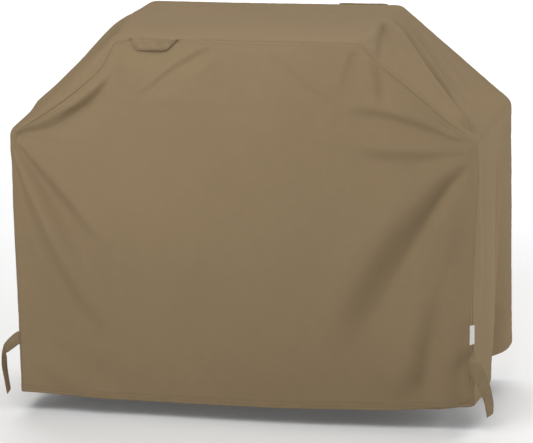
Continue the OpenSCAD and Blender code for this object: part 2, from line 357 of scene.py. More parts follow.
def band_height(u, v):
    """How far the long strip stands out of its plane."""
    out = np.zeros(np.broadcast(u, v).shape)
    for f in SLOPE_FOLDS:
        out += fold_height(u - U_RIGHT_PEAK, v, f, (-0.75, -0.65))
    for f in TOP_FOLDS:
        out += fold_height(u - U_RIGHT_PEAK + TOP_RIGHT, v, f, (-0.6, 0.8))
    right_h, left_h = SHOULDER_H - (u - U_RIGHT_SHOULDER), SHOULDER_H - (U_LEFT_SHOULDER - u)
    for f in SIDE_FOLDS:
        out += fold_height(v, right_h, f, (-0.4, 0.9))
    # the left side and slope are like the right ones, a little weaker
    for f in SIDE_FOLDS[1:]:
        out += 0.8 * fold_height(v, left_h, f, (-0.4, 0.9))
    for points, *rest in SLOPE_FOLDS[2:]:
        mirrored = tuple((0.44 - s * 0.9, d) for s, d in points)
        out += 0.6 * fold_height(u - U_LEFT_SHOULDER, v, (mirrored, *rest), (0.75, -0.65))
    # between the shoulder and the hem the sides are drawn in near the back
    for h in (right_h, left_h):
        low = np.clip(1 - h / 0.78, 0, 1) ** 1.3 * (h < SHOULDER_H)
        middle = 0.440 - 0.070 * fade(h, 0.16)
        out -= 0.062 * low * np.exp(-((v - middle) / 0.085) ** 2)
        out += 0.006 * low * np.exp(-((v - 0.18) / 0.10) ** 2)
    # the top sags between its edges
    on_top = smooth((u - U_LEFT_PEAK) / 0.12) * smooth((U_RIGHT_PEAK - u) / 0.12)
    out -= 0.006 * on_top * np.sin(np.pi * np.clip(v / DEPTH, 0, 1)) ** 2
    return out + wrinkles(u, v, 37)


# ---- seams: how the corner between panel and strip rolls, at length u along the outline ----

ROLL_R = 0.012


def seam_roll(u, side):
    """Radius, turn of the seam on the rounded corner (0 on the panel, 90 degrees on the strip), and how
    far the seam has slipped on down the panel and back along the strip."""
    if side == BACK:
        return np.full_like(u, ROLL_R), np.full_like(u, math.radians(45)), 0 * u, 0 * u
    shoulder_1, peak_1, peak_2, shoulder_2 = U_LEFT_SHOULDER, U_LEFT_PEAK, U_RIGHT_PEAK, U_RIGHT_SHOULDER
    radius = along(u, (0, ROLL_R), (shoulder_1 - .05, ROLL_R), (shoulder_1 + .12, .026),
                   (peak_1 - .12, .030), (peak_1 + .03, ROLL_R), (peak_2 - .02, ROLL_R),
                   (peak_2 + .10, .018), (shoulder_2 - .10, .016), (shoulder_2 + .04, .026),
                   (shoulder_2 + .35, .018), (TOTAL, ROLL_R))
    turn = along(u, (0, 45), (shoulder_1 - .08, 45), (shoulder_1 + .02, 0), (peak_1 + .01, 0),
                 (peak_1 + .08, 45), (peak_2 - .02, 45), (peak_2 + .10, 20), (shoulder_2 - .12, 25),
                 (shoulder_2, 90), (shoulder_2 + .32, 90), (shoulder_2 + .50, 62), (TOTAL, 45))
    slip_down = along(u, (0, 0), (shoulder_1 + .03, 0), (shoulder_1 + .24, .016), (peak_1 - .10, .014),
                      (peak_1, 0), (TOTAL, 0))
    slip_back = along(u, (0, 0), (shoulder_2 + .01, 0), (shoulder_2 + .08, .009),
                      (shoulder_2 + .30, 0), (TOTAL, 0))
    return radius, np.radians(turn), slip_down, slip_back


SLIP_REACH = 0.16


def roll_panel(s, roll):
    """Where a panel's point lies that is s from its edge: inwards from the corner, and back of its plane."""
    radius, turn, down, back = roll
    arc = back + radius * turn
    reach = 3 * radius + back
    path = s * (arc + reach - radius) / reach
    angle = turn - (path - back) / radius
    on_side, on_arc = path < back, path < arc
    inward = np.where(on_side, 0, np.where(on_arc, radius * (1 - np.sin(angle)), radius + path - arc))
    depth = np.where(on_side, radius + back - path, np.where(on_arc, radius * (1 - np.cos(angle)), 0))
    inward = np.where(s < reach, inward, s)
    depth = np.where(s < reach, depth, 0)
    return inward + down * fade(s, SLIP_REACH), depth


def roll_strip(d, roll):
    """The same for the strip's point that is d behind its edge."""
    radius, turn, down, back = roll
    return roll_panel(d, (radius, np.pi / 2 - turn, back, down))[::-1]


def hem_drop(x, v):
    """Height of the hem above its even line, by place: x and depth. Below 0 it hangs lower."""
    front = along(x, (-.70, -.011), (-.36, -.020), (.05, -.019), (.40, -.013), (.58, -.004), (.70, .009))
    back = along(x, (-.70, -.004), (-.2, -.010), (.35, .004), (.69, .036))
    corner = 0.004 * smooth((v - DEPTH + 0.045) / 0.045) * smooth((x - 0.62) / 0.07)
    return front + (back - front) * smooth((v - 0.10) / 0.17) + corner


def puckers(u, s, seed):
    """Gathers that run away from a seam."""
    size = 0.6 + 0.4 * noise_1d(u, 0.21, seed + 1)
    return 0.0009 * size * noise_1d(u, 0.013, seed) * np.exp(-s / 0.022)


def seam_relief(s, on_panel):
    """The sewn edge: a groove where the cloths meet, and the turned-in edge showing through beside it."""
    groove = -0.0016 * np.exp(-(s / 0.0014) ** 2)
    if not on_panel:
        return groove
    ridge = 0.0009 * smooth(s / 0.0015) * (1 - smooth((s - 0.0085) / 0.0035))
    dimple = -0.0004 * np.exp(-((s - STITCH_IN) / 0.0012) ** 2)
    return groove + ridge + dimple


def hem_relief(h):
    """The turned-up hem: a firm lower edge, a step where the fold ends, and two sewn rows."""
    out = 0.0006 * (1 - smooth((h - HEM_H) / 0.004))
    for row in HEM_ROWS:
        out = out - 0.0005 * np.exp(-((h - row) / 0.0014) ** 2)
    return out


# ---- the cloth: every point is found from its place on the flat pattern ----

def strip_push(u, v):
    """Total height of the strip out of its plane, relief included."""
    x_h, _ = outline_at(u)
    gap = np.minimum(v, DEPTH - v)
    out = band_height(u, v) + puckers(u, gap, 51) + seam_relief(gap, False)
    side = (u < U_LEFT_SHOULDER) | (u > U_RIGHT_SHOULDER)
    return out + hem_relief(x_h[..., 1]) * side


def panel_push(x, h, s, u, side):
    """Total height of a panel out of its plane, relief included."""
    height = front_height(x, h) if side == FRONT else back_height(x, h)
    return height + puckers(u, s, 71 + side) + seam_relief(s, True) + hem_relief(h)


SEAM_FADE = 0.05
ROLL_END = 0.30
TOP_SPREAD = 0.058
STRIP_MIDDLE, STRIP_BLEND = 0.24, 0.14


def settle(points, v):
    """How the cover hangs: it is lower at the front, drawn in at the lower right, and spread out at the
    upper left of the back. Heights above the hem become heights in the scene."""
    x, h = points[..., 0], points[..., 2]
    points[..., 2] += hem_drop(x, v) * fade(h, 0.55)
    drawn_in = along(h, (0, .0145), (.30, .017), (.50, .010), (.70, .003), (.80, 0))
    points[..., 0] -= drawn_in * smooth((x - 0.35) / 0.33) * fade(v, 0.35)
    spread = smooth((-0.10 - x) / 0.30) * smooth((h - 0.80) / 0.26) * smooth((v + 0.06) / 0.50)
    points[..., 0] -= TOP_SPREAD * spread
    points[..., 2] += HEM_Z
    return points


def panel_at(x, h, side):
    """Points of the front or back panel, for places (x, h) on its pattern."""
    x, h = np.broadcast_arrays(np.asarray(x, float), np.asarray(h, float))
    u, s = nearest_on_outline(x, h)
    edge, normal = outline_at(u)
    inward, depth = roll_panel(s, seam_roll(u, side))
    place = np.where((s > ROLL_END)[..., None], np.stack([x, h], -1), edge - normal * inward[..., None])
    edge_push = strip_push(u, np.full_like(u, EDGE_V[side]))
    edge_push = edge_push * fade(s, SEAM_FADE + 4 * np.abs(edge_push))
    place = place + normal * edge_push[..., None]
    y = side * (HALF_D - depth + panel_push(x, h, s, u, side))
    return settle(np.stack([place[..., 0], y, place[..., 1]], -1), EDGE_V[side])


def free_strip(u, v):
    """The long strip before its edges are drawn onto the panels'."""
    edge, normal = outline_at(u)
    in_front, y_front = roll_strip(v, seam_roll(u, FRONT))
    in_back, y_back = roll_strip(DEPTH - v, seam_roll(u, BACK))
    half = smooth((v - STRIP_MIDDLE) / STRIP_BLEND)
    inward = in_front * (1 - half) + in_back * half
    y = -HALF_D + y_front * (1 - half) + (DEPTH - y_back) * half
    place = edge + normal * (strip_push(u, v) - inward)[..., None]
    return settle(np.stack([place[..., 0], y, place[..., 1]], -1), v)


def strip_at(u, v):
    """Points of the long strip, for lengths u along the outline and depths v from the front seam."""
    u, v = np.broadcast_arrays(np.asarray(u, float), np.asarray(v, float))
    out = free_strip(u, v)
    edge = on_outline(u)
    for side, gap in ((FRONT, v), (BACK, DEPTH - v)):
        if (gap < SEAM_FADE).any():
            seam = panel_at(edge[..., 0], edge[..., 1], side)
            out += (seam - free_strip(u, np.full_like(u, EDGE_V[side]))) * fade(gap, SEAM_FADE)[..., None]
    return out


def normals_of(place, a, b, step=0.0015):
    """Points and outward normals of a surface at (a, b), by small steps along it."""
    here = place(a, b)
    da = place(a + step, b) - place(a - step, b)
    db = place(a, b + step) - place(a, b - step)
    return here, normalise(np.cross(da, db))


def panel_surface(x, h, side):
    """Points and outward normals of a panel."""
    here, normal = normals_of(lambda a, b: panel_at(a, b, side), x, h)
    return here, normal * -side


# ---- meshes ----

def steps_between(low, high, size, near_low, near_high):
    """Positions from low to high, close together near either end by the given distances."""
    first = [low + d for d in near_low]
    last = [high - d for d in reversed(near_high)]
    count = max(2, round((last[0] - first[-1]) / size))
    middle = [first[-1] + (last[0] - first[-1]) * k / count for k in range(1, count)]
    return np.array(first + middle + last)


NEAR_SEAM = (0, .0012, .0026, .0045, .007, .009, .0115, .015, .019, .024, .030, .036, .043, .050)
NEAR_HEM = (0, .003, .0065, .008, .0095, .014, .0185, .020, .0215, .025, .029, .035, .042)

GRID_STEP, FINE_STEP = .0085, .0062
ROWS = np.unique(np.concatenate([
    steps_between(0, SHOULDER_H - .03, GRID_STEP, NEAR_HEM, (0, .006)),
    steps_between(SHOULDER_H - .03, TOP_H, FINE_STEP, (0, .004), NEAR_SEAM[:10]),
    TOP_H - np.array([.0003, .0008, .002, .0035])]))
COLUMNS = steps_between(0, 1, FINE_STEP, [d / 1.25 for d in NEAR_SEAM], [d / 1.25 for d in NEAR_SEAM])


def mesh_object(name, points, faces, uv=None):
    mesh = bpy.data.meshes.new(name)
    faces = faces if isinstance(faces, list) else faces.tolist()
    mesh.from_pydata(np.asarray(points, float).reshape(-1, 3).tolist(), [], faces)
    if uv is not None:
        layer = mesh.uv_layers.new(name="pattern")
        corners = np.empty(len(mesh.loops), dtype=np.int32)
        mesh.loops.foreach_get("vertex_index", corners)
        layer.data.foreach_set("uv", np.asarray(uv, float).reshape(-1, 2)[corners].ravel())
    mesh.polygons.foreach_set("use_smooth", [True] * len(mesh.polygons))
    mesh.update()
    obj = bpy.data.objects.new(name, mesh)
    bpy.context.collection.objects.link(obj)
    return obj


def grid_faces(rows, cols, flip=False, closed=False):
    index = np.arange(rows * cols).reshape(rows, cols)
    if closed:
        index = np.concatenate([index, index[:, :1]], 1)
    faces = np.stack([index[:-1, :-1], index[:-1, 1:], index[1:, 1:], index[1:, :-1]], -1).reshape(-1, 4)
    return faces[:, ::-1] if flip else faces


def thicken(obj, thickness, inner=None, offset=-1.0):
    """Gives a sheet its thickness on the inside, with another material there if one is named."""
    solid = obj.modifiers.new("thickness", "SOLIDIFY")
    solid.thickness, solid.offset = thickness, offset
    solid.use_even_offset = False
    if inner:
        obj.data.materials.append(inner)
        solid.material_offset = 1


def mark(obj, name, values):
    """Stores a number for each point of a piece, for its material."""
    layer = obj.data.attributes.new(name, "FLOAT", "POINT")
    layer.data.foreach_set("value", np.asarray(values, np.float32).ravel())


# ---- materials ----

class Nodes:
    """A small helper that adds and links shader nodes."""

    def __init__(self, name, rough, specular=0.3, sheen=0.0, sheen_rough=0.5, tint=(1, 1, 1)):
        self.material = bpy.data.materials.new(name)
        self.material.use_nodes = True
        self.tree = self.material.node_tree
        self.shader = self.tree.nodes["Principled BSDF"]
        self.shader.inputs["Roughness"].default_value = rough
        self.shader.inputs["Specular IOR Level"].default_value = specular
        self.shader.inputs["Sheen Weight"].default_value = sheen
        self.shader.inputs["Sheen Roughness"].default_value = sheen_rough
        self.shader.inputs["Sheen Tint"].default_value = (*tint, 1)

    def add(self, kind, values=None, links=None, **settings):
        node = self.tree.nodes.new(kind)
        for key, value in settings.items():
            setattr(node, key, value)
        for key, value in (values or {}).items():
            node.inputs[key].default_value = value
        for key, source in (links or {}).items():
            self.tree.links.new(source, node.inputs[key])
        return node

    def link(self, source, socket):
        self.tree.links.new(source, self.shader.inputs[socket])

    def uv(self):
        return self.add("ShaderNodeUVMap", uv_map="pattern").outputs["UV"]

    def place(self):
        return self.add("ShaderNodeTexCoord").outputs["Object"]

    def math(self, operation, a, b):
        values = {k: v for k, v in enumerate((a, b)) if isinstance(v, (int, float))}
        links = {k: v for k, v in enumerate((a, b)) if not isinstance(v, (int, float))}
        return self.add("ShaderNodeMath", values, links, operation=operation).outputs[0]

    def noise(self, where, scale, detail=2.0, rough=0.5):
        node = self.add("ShaderNodeTexNoise", {"Scale": scale, "Detail": detail, "Roughness": rough},
                        {"Vector": where})
        return node.outputs["Fac"]

    def ramp(self, source, colour, *stops):
        """The colour, lighter or darker by the amount at each (position, amount) stop."""
        node = self.add("ShaderNodeValToRGB", links={"Fac": source})
        while len(node.color_ramp.elements) < len(stops):
            node.color_ramp.elements.new(0.5)
        for element, (position, amount) in zip(node.color_ramp.elements, stops):
            element.position = position
            element.color = (*shade(colour, amount), 1)
        return node.outputs["Color"]

    def made(self, colour, normal):
        self.link(colour, "Base Color")
        self.link(normal, "Normal")
        return self.material

    def bump(self, height, strength, distance, under=None):
        links = {"Height": height}
        if under:
            links["Normal"] = under
        node = self.add("ShaderNodeBump", {"Strength": strength, "Distance": distance}, links)
        return node.outputs["Normal"]


def shade(colour, amount):
    return tuple(min(1.0, c * amount) for c in colour)


def weave(n, where, pitch):
    """Height of a plain weave: threads along and across that pass over one another."""
    split = n.add("ShaderNodeSeparateXYZ", links={"Vector": where})
    turn = math.pi / pitch
    waves = []
    for axis in ("X", "Y"):
        waves.append(n.math("SINE", n.math("MULTIPLY", split.outputs[axis], turn), 0))
    crossing = n.math("MULTIPLY", waves[0], waves[1])
    ribs = n.math("ADD", n.math("ABSOLUTE", waves[0], 0), n.math("ABSOLUTE", waves[1], 0))
    return n.math("ADD", crossing, n.math("MULTIPLY", ribs, 0.5))


def cover_cloth(name, colour, pitch=0.0009):
    """Woven polyester with a coating: a fine weave, faint mottling, and a painted highlight that makes the
    sewn edges and hem paler.
    """
    n = Nodes(name, 0.72, specular=0.02, sheen=0.02, sheen_rough=0.5, tint=shade(colour, 1.8))
    uv, place = n.uv(), n.place()
    broad = n.noise(place, 2.6, 3.0)
    mottled = n.noise(place, 26.0, 4.0, 0.6)
    slub = n.noise(n.add("ShaderNodeMapping", {"Scale": (1.0, 14.0, 1.0)}, {"Vector": uv}).outputs[0],
                   60.0, 2.0)
    blend = n.math("ADD", n.math("MULTIPLY", broad, 0.5),
                   n.math("ADD", n.math("MULTIPLY", mottled, 0.3), n.math("MULTIPLY", slub, 0.2)))
    base = n.ramp(blend, colour, (0.30, 0.94), (0.50, 1), (0.72, 1.06))
    # painted highlight: the colour is made patchily paler along the seam ridges and the hem edge, where the
    # 'edge' number is high
    edge = n.add("ShaderNodeAttribute", attribute_name="edge").outputs["Fac"]
    painted_highlight = n.math("MULTIPLY", edge, n.noise(place, 120.0, 3.0))
    mix = n.add("ShaderNodeMix", {"B": (*shade(colour, 1.22), 1)}, {"Factor": painted_highlight, "A": base},
                data_type="RGBA")
    rough = n.add("ShaderNodeMapRange", {"To Min": 0.66, "To Max": 0.80}, {"Value": mottled})
    n.link(rough.outputs["Result"], "Roughness")
    relief = n.bump(n.noise(place, 55.0, 3.0), 0.12, 0.0012)
    return n.made(mix.outputs["Result"], n.bump(weave(n, uv, pitch), 0.30, 0.00009, relief))


def film(name, colour, rough, specular, cloud, shades, fine, bump):
    """A smooth film: the coating inside the cloth, or the sealed seam tape with its faint ripples."""
    n = Nodes(name, rough, specular=specular)
    place = n.place()
    base = n.ramp(n.noise(place, *cloud), colour, (0.35, shades[0]), (0.65, shades[1]))
    return n.made(base, n.bump(n.noise(place, fine), *bump))


def webbing(name, colour, pitch=0.0012):
    """The same cloth folded double and sewn flat, with firmer threads."""
    n = Nodes(name, 0.70, specular=0.06, sheen=0.06, sheen_rough=0.5, tint=shade(colour, 1.8))
    uv, place = n.uv(), n.place()
    base = n.ramp(n.noise(place, 45.0, 4.0, 0.6), colour, (0.3, 0.88), (0.7, 1.10))
    relief = n.bump(n.noise(place, 140.0, 3.0), 0.2, 0.0008)
    return n.made(base, n.bump(weave(n, uv, pitch), 0.45, 0.00014, relief))


def thread_material(name, colour):
    """Twisted sewing thread with a soft shine."""
    n = Nodes(name, 0.45, specular=0.45, sheen=0.2, sheen_rough=0.3)
    ply = n.add("ShaderNodeTexWave", {"Scale": 700.0, "Distortion": 1.5, "Detail": 1.0},
                {"Vector": n.place()}, bands_direction="DIAGONAL").outputs["Fac"]
    return n.made(n.ramp(ply, colour, (0.2, 0.72), (0.8, 1.15)), n.bump(ply, 0.5, 0.0002))


def grip_material(name, colour, hooks):
    """Hook tape has rows of small stiff hooks, loop tape a brushed felt of fine loops."""
    n = Nodes(name, 0.55 if hooks else 0.85, specular=0.35 if hooks else 0.15,
              sheen=0.0 if hooks else 0.5, sheen_rough=0.6)
    place = n.place()
    if hooks:
        dots = n.add("ShaderNodeTexVoronoi", {"Scale": 620.0, "Randomness": 0.15}, {"Vector": place})
        height = n.math("SUBTRACT", 1.0, dots.outputs["Distance"])
    else:
        height = n.noise(place, 700.0, 5.0, 0.7)
    return n.made(n.ramp(height, colour, (0.3, 0.6), (0.8, 1.6)), n.bump(height, 0.9, 0.0006))


def label_material(name, colour):
    """Woven satin with fine cross ribs."""
    n = Nodes(name, 0.48, specular=0.35, sheen=0.3, sheen_rough=0.3)
    split = n.add("ShaderNodeSeparateXYZ", links={"Vector": n.uv()})
    rib = n.math("ABSOLUTE", n.math("SINE", n.math("MULTIPLY", split.outputs["Y"], 5200.0), 0), 0)
    cloud = n.noise(n.place(), 160.0, 3.0)
    tone = n.math("ADD", n.math("MULTIPLY", rib, 0.3), n.math("MULTIPLY", cloud, 0.7))
    return n.made(n.ramp(tone, colour, (0.2, 0.86), (0.7, 1)), n.bump(rib, 0.4, 0.0001))


def foam_material(name, colour):
    """Open-cell foam inside the handles."""
    n = Nodes(name, 0.9, specular=0.1)
    cells = n.add("ShaderNodeTexVoronoi", {"Scale": 900.0}, {"Vector": n.place()}).outputs["Distance"]
    return n.made(n.ramp(cells, colour, (0.1, 0.7), (0.6, 1)), n.bump(cells, 0.8, 0.0005))


CLOTH_COLOUR = (0.262, 0.192, 0.112)
MATERIALS = {
    "cover_cloth": cover_cloth("cover_cloth", CLOTH_COLOUR),
    "coating": film("cover_coating", (0.150, 0.120, 0.084), 0.42, 0.4, (9.0, 4.0), (0.85, 1.1), 900.0,
                    (0.25, 0.0002)),
    "strap_cloth": webbing("strap_cloth", (0.250, 0.186, 0.110)),
    "handle_cloth": webbing("handle_cloth", CLOTH_COLOUR, 0.0009),
    "thread": thread_material("thread", (0.200, 0.147, 0.086)),
    "seam_tape": film("seam_tape", (0.040, 0.037, 0.034), 0.30, 0.5, (30.0, 3.0), (0.8, 1.25), 240.0,
                      (0.3, 0.0004)),
    "hook_tape": grip_material("hook_tape", (0.032, 0.028, 0.024), True),
    "loop_tape": grip_material("loop_tape", (0.034, 0.029, 0.024), False),
    "label_cloth": label_material("label_cloth", (0.80, 0.80, 0.78)),
    "padding": foam_material("padding", (0.52, 0.50, 0.46)),
}


def finish_piece(obj, body, material, nodes=()):
    """Gives a piece its material and body, and hides the CAD nodes that it stands for."""
    obj.data.materials.append(MATERIALS[material])
    if body:
        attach(obj, body)
    if nodes:
        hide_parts(*nodes)
    return obj


# ---- camera, light and floor ----

AZIMUTH, ELEVATION, ROLL = 14.12, 13.88, -1.474
DISTANCE, LENS = 9.470, 212.3
TARGET = Vector((0.0052, -0.020, -0.6092))


def make_camera():
    a, e, r = (math.radians(v) for v in (AZIMUTH, ELEVATION, ROLL))
    back = Vector((math.sin(a) * math.cos(e), -math.cos(a) * math.cos(e), math.sin(e)))
    camera = bpy.data.objects.new("camera", bpy.data.cameras.new("camera"))
    bpy.context.collection.objects.link(camera)
    camera.data.lens, camera.data.sensor_width = LENS, 36.0
    camera.data.clip_start, camera.data.clip_end = 0.1, 60.0
    level = (-back).to_track_quat("-Z", "Y").to_matrix().to_4x4()
    camera.matrix_world = level @ Matrix.Rotation(r, 4, "Z")
    camera.location = TARGET + back * DISTANCE
    bpy.context.scene.camera = camera


# Name, place, the point it shines on, its width and height, and its power in watts.
LIGHTS = [
    ("key", (-0.85, -2.01, 1.07), (-0.05, -0.3, -0.25), (1.0, 1.0), 19.3),
    ("upper", (-0.19, -1.85, 1.36), (-0.05, -0.3, -0.20), (1.0, 1.0), 9),
    ("second", (0.66, -1.71, 1.36), (0.0, -0.3, -0.20), (1.0, 1.0), 10.5),
    ("broad", (0.78, -2.89, 1.84), (0.0, 0.0, -0.5), (1.4, 1.4), 12),
    ("side", (3.70, -0.32, 0.29), (0.0, 0.0, -0.5), (1.4, 1.4), 43),
    ("fill", (-2.85, -2.39, 0.29), (0.0, 0.0, -0.5), (1.4, 1.4), 21),
    ("floor", (0.0, 3.6, 5.4), (0.0, 4.0, -1.1), (9.0, 3.0), 300),
    ("far_floor", (0.0, 8.8, 6.0), (0.0, 8.2, -1.1), (12.0, 4.0), 680),
]
SKY_STRENGTH = 0.035
FLOOR_GLOW, FLOOR_REACH = 0.09, 26.0


def area_light(name, place, aim, size, power):
    light = bpy.data.lights.new(name, "AREA")
    light.shape, light.size, light.size_y = "RECTANGLE", size[0], size[1]
    light.energy = power
    obj = bpy.data.objects.new(name, light)
    obj.location = place
    obj.rotation_mode = "QUATERNION"
    obj.rotation_quaternion = (Vector(aim) - Vector(place)).to_track_quat("-Z", "Y")
    obj.visible_camera = False
    bpy.context.collection.objects.link(obj)


def make_studio():
    world = bpy.data.worlds.new("studio")
    world.use_nodes = True
    sky = world.node_tree.nodes["Background"]
    sky.inputs["Color"].default_value = (1.0, 1.0, 1.0, 1)
    sky.inputs["Strength"].default_value = SKY_STRENGTH
    bpy.context.scene.world = world
    bpy.context.scene.view_settings.view_transform = "Standard"
    for settings in LIGHTS:
        area_light(*settings)
    n = Nodes("studio_floor", 0.9, specular=0.05)
    n.link(n.ramp(n.noise(n.place(), 1.2), (1, 1, 1), (0.3, 0.90), (0.7, 0.93)), "Base Color")
    n.shader.inputs["Emission Color"].default_value = (1.0, 1.0, 1.0, 1)
    n.shader.inputs["Emission Strength"].default_value = FLOOR_GLOW
    corners = [(x * FLOOR_REACH, y * FLOOR_REACH, FLOOR_Z) for x, y in ((-1, -1), (1, -1), (1, 1), (-1, 1))]
    floor = mesh_object("studio_floor", corners, [(0, 1, 2, 3)])
    floor.data.materials.append(n.material)


# ---- panels and strip ----

PAINTED_EDGE_HIGHLIGHT = 0.5  # how much paler the sewn edges and hem are painted: a painted highlight along the seam ridges


def make_panel(node, side):
    h = np.repeat(ROWS[:, None], len(COLUMNS), 1)
    left, right = left_edge(h), right_edge(h)
    x = left + (right - left) * COLUMNS[None, :]
    _, s = nearest_on_outline(x, h)
    obj = mesh_object(f"{node}_cloth", panel_at(x, h, side), grid_faces(*x.shape, flip=side == BACK),
                      np.stack([x, h], -1))
    # the 'edge' number marks where the painted highlight falls: beside the seams and along the hem
    mark(obj, "edge", np.maximum(np.exp(-(s / 0.006)), np.exp(-h / 0.005)) * PAINTED_EDGE_HIGHLIGHT)
    finish_piece(obj, "cover", "cover_cloth", (node,))
    thicken(obj, CLOTH, MATERIALS["coating"])


def strip_lengths():
    """The strip's steps along the outline, at the very points where the panels' grids meet it."""
    left = np.stack([left_edge(ROWS), ROWS], -1)
    top_x = left_edge(TOP_H) + (right_edge(TOP_H) - left_edge(TOP_H)) * COLUMNS[1:-1]
    top = np.stack([top_x, np.full_like(top_x, TOP_H)], -1)
    right = np.stack([right_edge(ROWS[::-1]), ROWS[::-1]], -1)
    edge = np.concatenate([left, top, right])
    return nearest_on_outline(edge[:, 0], edge[:, 1])[0]


def make_strip():
    u = strip_lengths()
    u, v = np.meshgrid(u, steps_between(0, DEPTH, GRID_STEP, NEAR_SEAM, NEAR_SEAM))
    obj = mesh_object("crown_band_cloth", strip_at(u, v), grid_faces(*u.shape), np.stack([u, v], -1))
    gap, h = np.minimum(v, DEPTH - v), np.minimum(u, TOTAL - u)
    # the 'edge' number marks where the painted highlight falls: beside the seams and along the strip's hem
    # ends
    mark(obj, "edge", np.maximum(np.exp(-(gap / 0.004)), np.exp(-h / 0.005)) * PAINTED_EDGE_HIGHLIGHT)
    finish_piece(obj, "cover", "cover_cloth", ("crown_band",))
    thicken(obj, CLOTH, MATERIALS["coating"])


# ---- hem, seam tape and stitching ----

# The four sides of the hem: how a point is found, its run, and which way its normal comes out.
HEM_SIDES = [(lambda x, h: panel_at(x, h, FRONT), -HALF_W, HALF_W, 1),
             (lambda v, h: strip_at(TOTAL - h, v), 0, DEPTH, 1),
             (lambda x, h: panel_at(x, h, BACK), -HALF_W, HALF_W, -1),
             (lambda v, h: strip_at(h, v), 0, DEPTH, -1)]


def joined(name, parts):
    """One mesh object from several parts, each with its points, faces and places on the pattern."""
    points, faces, uvs, start = [], [], [], 0
    for p, f, uv in parts:
        p = np.asarray(p).reshape(-1, 3)
        points.append(p)
        faces.append(np.asarray(f) + start)
        uvs.append(np.asarray(uv).reshape(-1, 2))
        start += len(p)
    return mesh_object(name, np.concatenate(points), np.concatenate(faces), np.concatenate(uvs))


def sewn(name, body, node, parts):
    """Stitches joined into one piece of thread."""
    return finish_piece(joined(name, parts), body, "thread", (node,))


def make_hem():
    heights = np.array([0.0002, 0.004, 0.008, 0.014, 0.020, HEM_H])
    parts = []
    for place, low, high, sign in HEM_SIDES:
        a, b = np.meshgrid(steps_between(low, high, 0.012, NEAR_SEAM[:8], NEAR_SEAM[:8]), heights)
        here, out = normals_of(place, a, b)
        points = here - out * sign * (CLOTH + ABOVE)
        parts.append((points, grid_faces(*a.shape, flip=sign < 0), np.stack([a, b], -1)))
    obj = joined("bottom_hem_fold", parts)
    finish_piece(obj, "cover", "coating", ("bottom_hem",))
    thicken(obj, HEM_T)


def inside_seam(u, s):
    """Places (x, h) on a panel's pattern that are s inside its edge."""
    edge, normal = outline_at(u)
    return (edge[..., k] - normal[..., k] * s for k in (0, 1))


def make_tape(name, side, node):
    """Waterproof tape over the seam, inside."""
    s = TAPE_IN + np.array([0, 0.001, TAPE_W / 2, TAPE_W - 0.001, TAPE_W])
    u, s = np.meshgrid(np.linspace(SEAM_END, TOTAL - SEAM_END, 420), s)
    here, out = panel_surface(*inside_seam(u, s), side)
    points = here - out * (CLOTH + TAPE_OFF)
    obj = mesh_object(name, points, grid_faces(*u.shape, flip=side == FRONT), np.stack([u, s], -1))
    finish_piece(obj, "cover", "seam_tape", (node,))
    thicken(obj, TAPE_T)


# How a stitch runs: place along it, girth, and lift above the cloth, in parts of its length and height.
STITCH_RINGS = ((-0.50, 0.25, -0.6), (-0.42, 0.75, 0.0), (-0.18, 1.0, 0.35), (0.18, 1.0, 0.35),
                (0.42, 0.75, 0.0), (0.50, 0.25, -0.6))
STITCH_SIDES = 6
STITCH_SWING = 0.07


def stitches(centres, ways, normals, length=0.0042, width=0.00085, height=0.0005, seed=1):
    """Mesh parts for single stitches: short threads that dip into the cloth at both ends."""
    rng = np.random.default_rng(seed)
    ways, normals = normalise(ways), normalise(normals)
    across = normalise(np.cross(normals, ways))
    ways = normalise(ways + across * rng.uniform(-STITCH_SWING, STITCH_SWING, (len(ways), 1)))
    angles = np.arange(STITCH_SIDES) / STITCH_SIDES * 2 * np.pi
    rings = []
    for place, girth, lift in STITCH_RINGS:
        middle = centres + ways * place * length + normals * lift * height
        ring = [middle + across * math.cos(a) * girth * width / 2
                + normals * math.sin(a) * girth * height / 2 for a in angles]
        rings.append(np.stack(ring, 1))
    points = np.stack(rings, 1)
    one = grid_faces(len(STITCH_RINGS), STITCH_SIDES, closed=True)
    size = len(STITCH_RINGS) * STITCH_SIDES
    faces = (one[None] + np.arange(len(centres))[:, None, None] * size).reshape(-1, 4)
    return points.reshape(-1, 3), faces, points.reshape(-1, 3)[:, [0, 2]]


def make_seam_stitching(name, side, node):
    u = np.arange(SEAM_END, TOTAL - SEAM_END, STITCH_PITCH)
    x, h = inside_seam(u, STITCH_IN)
    here, out = panel_surface(x, h, side)
    _, normal = outline_at(u)
    ahead = panel_at(x + 0.001 * normal[:, 1], h - 0.001 * normal[:, 0], side)
    sewn(name, "cover", node, [stitches(here + out * ABOVE, ahead - here, out, seed=31 + side)])


def make_hem_stitching():
    parts = []
    for k, (place, low, high, sign) in enumerate(HEM_SIDES):
        for row in HEM_ROWS:
            a = np.arange(low + 0.004, high - 0.003, STITCH_PITCH)
            b = np.full_like(a, row)
            here, out = normals_of(place, a, b)
            ahead = place(a + 0.001, b)
            parts.append(stitches(here + out * sign * ABOVE, ahead - here, out * sign, seed=41 + k))
    sewn("hem_stitches", "cover", "hem_stitching", parts)


# ---- carry handles ----

HANDLE_X, HANDLE_TOP, HANDLE_LOW, HANDLE_H = 0.252, 0.154, 0.090, 0.036
HANDLE_BOW, HANDLE_T = 0.013, 0.004
HANDLE_SHIFT, HANDLE_LIFT = 0.0088, 0.0030
BOW_R = ((HANDLE_TOP / 2) ** 2 + HANDLE_BOW ** 2) / (2 * HANDLE_BOW)
HANDLE_ROW = 0.0042


